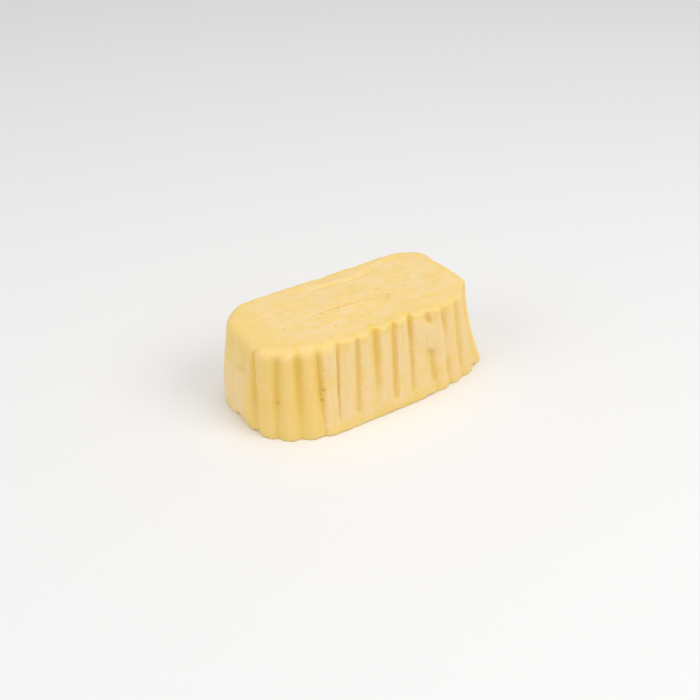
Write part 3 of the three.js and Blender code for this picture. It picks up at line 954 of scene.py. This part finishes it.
run_tree(butter, make_roughening_tree(), {})
print("roughened:", len(butter.data.vertices), "vertices")

# %% [markdown]
# Crumbs
# Where the slit tore the top, small crumbs cling to its lip and round its end. A third tree works on
# a copy of the block. It sets a lump on each scattered point, turns the lumps into real mesh,
# roughens them and leaves nothing of the block itself.

# %% The crumb tree
CRUMB_FLATNESS = {"X": 1.0, "Y": 0.75, "Z": 0.5}


def make_crumb_tree():
    tree, group, result = new_tree("Scatter crumbs", {
        "Crumbs per square metre": (FLOAT, 210000.0),
        "Smallest crumb": (FLOAT, 0.2),
        "Largest crumb": (FLOAT, 0.65),
        "Roughness": (FLOAT, 0.6),
        "Seed": (INTEGER, 11),
        "Material": (MATERIAL, None),
    })
    source = group.outputs
    density = times(tree, named(tree, "crumbly"), source["Crumbs per square metre"])
    scatter = scatter_points(tree, source["Geometry"], density, source["Seed"])
    lump = add_node(tree, "GeometryNodeMeshIcoSphere", {"Radius": MM, "Subdivisions": 2})["Mesh"]
    share = math_node(tree, "POWER", random_share(tree, source["Seed"]), 2.5)
    size = blend(tree, source["Smallest crumb"], source["Largest crumb"], share)
    flattened = {label: times(tree, size, factor) for label, factor in CRUMB_FLATNESS.items()}
    scale = add_node(tree, "ShaderNodeCombineXYZ", flattened)[0]
    place = add_node(tree, "GeometryNodeInstanceOnPoints", {
        "Points": scatter["Points"], "Instance": lump,
        "Rotation": scatter["Rotation"], "Scale": scale,
    })
    move = along_normal(tree, centred_noise(tree, 0.5, source["Roughness"]))
    lumps = geometry_step(tree, "RealizeInstances", place["Instances"])
    lumps = geometry_step(tree, "SetPosition", lumps, Offset=move)
    lumps = geometry_step(tree, "SetShadeSmooth", lumps)
    lumps = geometry_step(tree, "SetMaterial", lumps, Material=source["Material"])
    tree.links.new(lumps, result.inputs[0])
    return tree


crumbs = add_object("crumbs", butter.data.copy())
run_tree(crumbs, make_crumb_tree(), {"Material": crumb_finish})
print("crumbs:", len(crumbs.data.polygons), "faces")


# %% [markdown]
# The look of butter
# Two small node groups are shared by the block and its crumbs. One mottles the skin between yellow
# and cream, and the other gives it a fine grain. The finish itself mixes four colours by the facts
# stored on the points: clean yellow, dragged cream, a deep yellow painted into the grooves as painted
# shade, and an orange yellow painted into the pits as painted shade. Light soaks a few millimetres
# in, red deepest, which warms the shadows.

# %% Shared shader groups
YELLOW = (0.915, 0.655, 0.205, 1)
CREAM = (0.945, 0.697, 0.355, 1)
# A deeper yellow: painted shade in the grooves, and a faint random speckle
SHADE_AND_SPECKLE_YELLOW = (0.89, 0.625, 0.13, 1)
# A darker orange yellow painted into the pits as painted shade
PIT_SHADE_YELLOW = (0.8, 0.48, 0.09, 1)
GROOVE_SHADE_SHARE, PIT_SHADE_SHARE = 0.75, 0.28


def shader_noise(tree, vector, length, stretch=(1.0, 1.0, 1.0), detail=3.0):
    """Noise from 0 to 1 that changes over a length in millimetres, longer where it is stretched."""
    return noise_of(tree, vector, [length * MM * factor for factor in stretch], 1.0, detail)


def new_shader_group(name, inputs, outputs):
    tree = bpy.data.node_groups.new(name, "ShaderNodeTree")
    for way, sockets in (("INPUT", inputs), ("OUTPUT", outputs)):
        for label, kind in sockets.items():
            tree.interface.new_socket(label, in_out=way, socket_type=kind)
    return tree, tree.nodes.new("NodeGroupInput"), tree.nodes.new("NodeGroupOutput")


def make_mottle_group():
    """Large clouds and small flecks from 0 to 1: upright on the walls, lengthwise on the top."""
    tree, group, result = new_shader_group(
        "Butter mottle", {"Place": "NodeSocketVector", "Wall": FLOAT}, {"Clouds": FLOAT, "Flecks": FLOAT}
    )
    place, wall = group.outputs["Place"], group.outputs["Wall"]
    for label, length, detail in (("Clouds", 4.2, 3.0), ("Flecks", 1.1, 4.0)):
        lying = shader_noise(tree, place, length, (2.0, 0.9, 1.0), detail)
        upright = shader_noise(tree, place, length, (1.0, 1.0, 2.6), detail)
        both = blend(tree, lying, upright, wall)
        tree.links.new(step_node(tree, both, 0.33, 0.67), result.inputs[label])
    return tree


def make_grain_group():
    """A normal bent by a fine waxy grain."""
    tree, group, result = new_shader_group(
        "Butter grain", {"Place": "NodeSocketVector", "Strength": FLOAT}, {"Normal": "NodeSocketVector"}
    )
    grain = shader_noise(tree, group.outputs["Place"], 0.45, detail=4.0)
    sockets = {"Distance": 0.12 * MM, "Height": grain, "Strength": group.outputs["Strength"]}
    tree.links.new(add_node(tree, "ShaderNodeBump", sockets)["Normal"], result.inputs["Normal"])
    return tree


MOTTLE_GROUP = make_mottle_group()
GRAIN_GROUP = make_grain_group()


# %% [markdown]
# The finish
# Both finishes share one recipe and differ only in how their colour is made and in how deep light
# soaks in: millimetres into the block, but only a fraction of one into a crumb.

# %% The finish of the block and of its crumbs
WAXY = {
    "IOR": 1.46,
    "Specular IOR Level": 0.42,
    "Subsurface Weight": 0.45,
    "Subsurface Radius": (1.0, 0.62, 0.25),
}
BLOCK_LIGHT_DEPTH, CRUMB_LIGHT_DEPTH = 3.0, 0.3


def colour_mix(tree, first, second, share):
    return add_node(tree, "ShaderNodeMix", {0: share, 6: first, 7: second}, data_type="RGBA")[2]


def fact_of(tree, name):
    return add_node(tree, "ShaderNodeAttribute", {}, attribute_name=name)["Fac"]


def add_group(tree, group, sockets):
    return add_node(tree, "ShaderNodeGroup", sockets, node_tree=group)


def dress(finish, colour_of, depth_of_light):
    """Sets up a waxy finish: its colour is a function of its tree and mottling, its depth in mm."""
    finish.use_nodes = True
    tree = finish.node_tree
    surface = tree.nodes["Principled BSDF"]
    place = add_node(tree, "ShaderNodeTexCoord", {})["Object"]
    wall = fact_of(tree, "wall_share")
    mottle = add_group(tree, MOTTLE_GROUP, {"Place": place, "Wall": wall})
    grain = add_group(tree, GRAIN_GROUP, {"Place": place, "Strength": 0.5})
    tree.links.new(grain["Normal"], surface.inputs["Normal"])
    colour = colour_of(tree, mottle["Clouds"], mottle["Flecks"])
    tree.links.new(colour, surface.inputs["Base Color"])
    rough = math_node(tree, "MULTIPLY_ADD", mottle["Flecks"], 0.16, 0.4)
    tree.links.new(rough, surface.inputs["Roughness"])
    for label, value in WAXY.items():
        surface.inputs[label].default_value = value
    surface.inputs["Subsurface Scale"].default_value = depth_of_light * MM


def butter_colour(tree, clouds, flecks):
    cream = fact_of(tree, "cream")
    lively = math_node(tree, "MULTIPLY_ADD", clouds, 0.9, -0.45)
    lively = plus(tree, lively, math_node(tree, "MULTIPLY_ADD", flecks, 0.36, -0.18))
    share = math_node(tree, "MULTIPLY_ADD", lively, plus(tree, cream, 0.15), cream, clamp=True)
    colour = colour_mix(tree, YELLOW, CREAM, share)
    # Painted shade: the deeper the groove, the more of the deep yellow; a faint random speckle of it lies
    # everywhere
    groove_shade = step_node(tree, fact_of(tree, "groove_shade"), 0.3, 2.5)
    speckle = math_node(tree, "MULTIPLY_ADD", flecks, -0.14, 0.14)
    colour = colour_mix(tree, colour, SHADE_AND_SPECKLE_YELLOW, math_node(tree, "MULTIPLY_ADD", groove_shade, GROOVE_SHADE_SHARE, speckle))
    # Painted shade in the pits: they turn a darker orange yellow
    return colour_mix(tree, colour, PIT_SHADE_YELLOW, times(tree, fact_of(tree, "pit"), PIT_SHADE_SHARE))


def crumb_colour(tree, _clouds, flecks):
    return colour_mix(tree, YELLOW, CREAM, flecks)


dress(butter_finish, butter_colour, BLOCK_LIGHT_DEPTH)
dress(crumb_finish, crumb_colour, CRUMB_LIGHT_DEPTH)

# %% [markdown]
# Joining the frame
# The block and its crumbs ride on the only body there is. The block stands for the solid of the
# frame.

# %% Ride and replace
for piece in (butter, crumbs):
    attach(piece, "root")
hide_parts(NODE)

# %% [markdown]
# Floor, light and camera
# The picture was taken with soft light all round, a little more of it from the right, on white.

# %% A pale floor
def make_floor():
    size = 4.0
    mesh = bpy.data.meshes.new("floor")
    corners = [(-size, -size, 0), (size, -size, 0), (size, size, 0), (-size, size, 0)]
    mesh.from_pydata(corners, [], [(0, 1, 2, 3)])
    pale = bpy.data.materials.new("Pale floor")
    pale.use_nodes = True
    surface = pale.node_tree.nodes["Principled BSDF"]
    surface.inputs["Base Color"].default_value = (0.9, 0.895, 0.89, 1)
    surface.inputs["Roughness"].default_value = 0.7
    mesh.materials.append(pale)
    return add_object("floor", mesh)


make_floor()

# %% Soft lights
AZIMUTH, ELEVATION, DISTANCE = -34.3, 32.95, 590.6
AIM = Vector((12.4, 22.0, 0.0)) * MM
LENS = 61.7


def look_from(thing, azimuth, elevation, distance):
    """Puts a lamp or the camera at a place round the block and turns it to face the aim."""
    a, e = math.radians(azimuth), math.radians(elevation)
    back = Vector((math.sin(a) * math.cos(e), -math.cos(a) * math.cos(e), math.sin(e)))
    thing.location = AIM + back * distance
    thing.rotation_mode = "QUATERNION"
    thing.rotation_quaternion = (AIM - thing.location).to_track_quat("-Z", "Y")


def add_softbox(name, azimuth, elevation, distance, size, power):
    light = bpy.data.lights.new(name, "AREA")
    light.shape = "DISK"
    light.size = size
    light.energy = power
    look_from(add_object(name, light), azimuth, elevation, distance)


add_softbox("key", AZIMUTH + 60, 45, 1.2, 0.8, 4.6)
add_softbox("fill", AZIMUTH - 55, 35, 1.4, 0.9, 3.4)
add_softbox("top", AZIMUTH, 85, 1.2, 0.9, 3.5)

world = bpy.data.worlds.new("white room")
world.use_nodes = True
world.node_tree.nodes["Background"].inputs["Color"].default_value = (1, 1, 1, 1)
world.node_tree.nodes["Background"].inputs["Strength"].default_value = 0.5
bpy.context.scene.world = world
bpy.context.scene.view_settings.view_transform = "Standard"

# %% The camera
camera = add_object("camera", bpy.data.cameras.new("camera"))
camera.data.lens = LENS
camera.data.clip_start = 0.01
look_from(camera, AZIMUTH, ELEVATION, DISTANCE * MM)
bpy.context.scene.camera = camera
